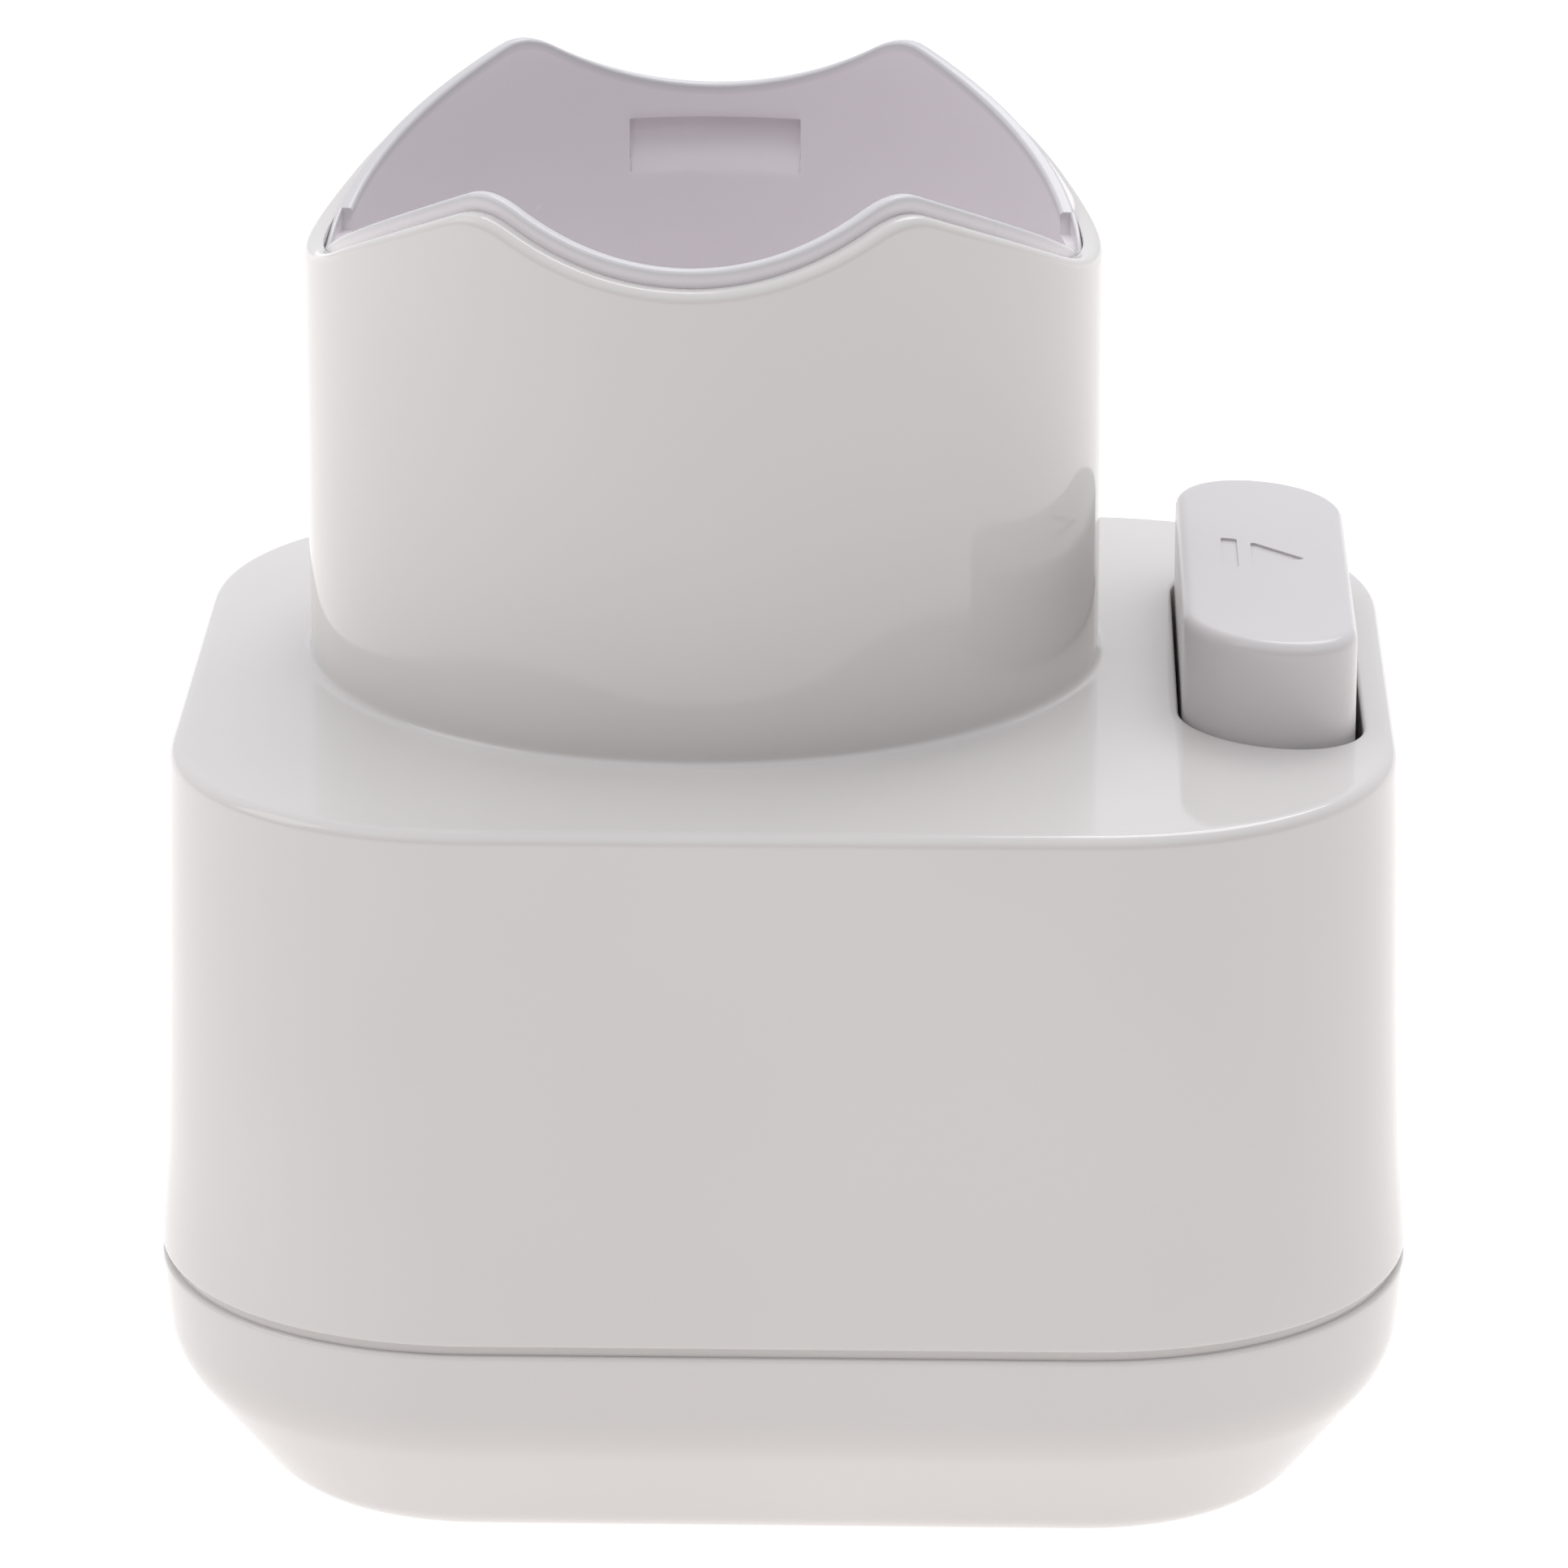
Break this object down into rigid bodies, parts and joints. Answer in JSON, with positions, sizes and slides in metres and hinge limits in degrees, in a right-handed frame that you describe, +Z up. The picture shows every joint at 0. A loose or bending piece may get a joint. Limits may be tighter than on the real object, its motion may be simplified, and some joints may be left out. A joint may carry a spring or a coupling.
{
  "type": "twin beater gearbox attachment",
  "caption": "Gearbox head for a hand blender: a crown-rimmed socket takes the motor handle, gears turn two beater sockets, and a sprung key ejects the beaters.",
  "frame": {"origin": "on the table, under the middle of the body", "axes": "+X to the right with the eject key on the right, +Y to the back, +Z up along the socket's axis"},
  "size_m": [0.0964, 0.0856, 0.102],
  "materials": {
    "housing_gloss": "glossy moulded ABS, warm white",
    "liner_satin": "satin moulded ABS, white",
    "key_satin": "satin moulded ABS, white",
    "grey_nylon": "glass-filled nylon, grey",
    "acetal": "natural acetal",
    "steel": "turned and stamped steel",
    "spring_steel": "hardened spring steel",
    "bronze": "sintered bronze, oil-filled",
    "seal_rubber": "nitrile rubber"
  },
  "bodies": {
    "housing": {"upper_housing": "housing_gloss", "coupling_sleeve": "liner_satin", "lower_cover": "housing_gloss", "chassis_plate": "grey_nylon", "idler_pin": "steel", "guide_post": "steel", "input_bush_upper": "bronze", "input_bush_lower": "bronze", "upper_bush_left": "bronze", "upper_bush_right": "bronze", "lower_bush_left": "bronze", "lower_bush_right": "bronze", "beater_seal_left": "seal_rubber", "beater_seal_right": "seal_rubber", "cover_screws": "steel", "chassis_screws": "steel", "sleeve_screws": "steel", "eject_spring": "steel", "idler_washer": "acetal"},
    "input_drive": {"drive_coupling": "grey_nylon", "input_shaft": "steel", "input_pinion": "steel", "input_clip": "spring_steel", "input_washer": "acetal"},
    "idler": {"idler_gear": "acetal"},
    "beater_drive_left": {"beater_gear_left": "acetal", "beater_socket_left": "steel", "detent_clip_left": "spring_steel", "thrust_washers_left": "acetal"},
    "beater_drive_right": {"beater_gear_right": "acetal", "beater_socket_right": "steel", "detent_clip_right": "spring_steel", "thrust_washers_right": "acetal"},
    "eject_slide": {"eject_key": "key_satin", "eject_yoke": "steel", "push_pin_left": "steel", "push_pin_right": "steel", "key_screws": "steel"}
  },
  "joints": [
    {"name": "beater_right_spin", "type": "hinge", "parent": "housing", "child": "beater_drive_right", "pos_m": [0.02, 0, 0.02], "axis": [0, 0, 1], "continuous": true},
    {"name": "beater_left_spin", "type": "hinge", "parent": "housing", "child": "beater_drive_left", "pos_m": [-0.02, 0, 0.02], "axis": [0, 0, 1], "continuous": true},
    {"name": "idler_spin", "type": "hinge", "parent": "housing", "child": "idler", "pos_m": [0.00573, 0.02174, 0.02], "axis": [0, 0, 1], "continuous": true},
    {"name": "input_spin", "type": "hinge", "parent": "housing", "child": "input_drive", "pos_m": [-0.00675, 0.0056, 0.02], "axis": [0, 0, 1], "continuous": true},
    {"name": "eject_press", "type": "slide", "parent": "housing", "child": "eject_slide", "axis": [0, 0, -1], "range_m": [0, 0.007], "stiffness_N_per_m": 400, "springref_m": -0.005, "deforming": ["eject_spring"]}
  ],
  "couplings": [
    {"joint": "beater_left_spin", "follows": "beater_right_spin", "ratio": -1},
    {"joint": "idler_spin", "follows": "beater_right_spin", "ratio": -3.3333},
    {"joint": "input_spin", "follows": "beater_right_spin", "ratio": 12.121}
  ]
}
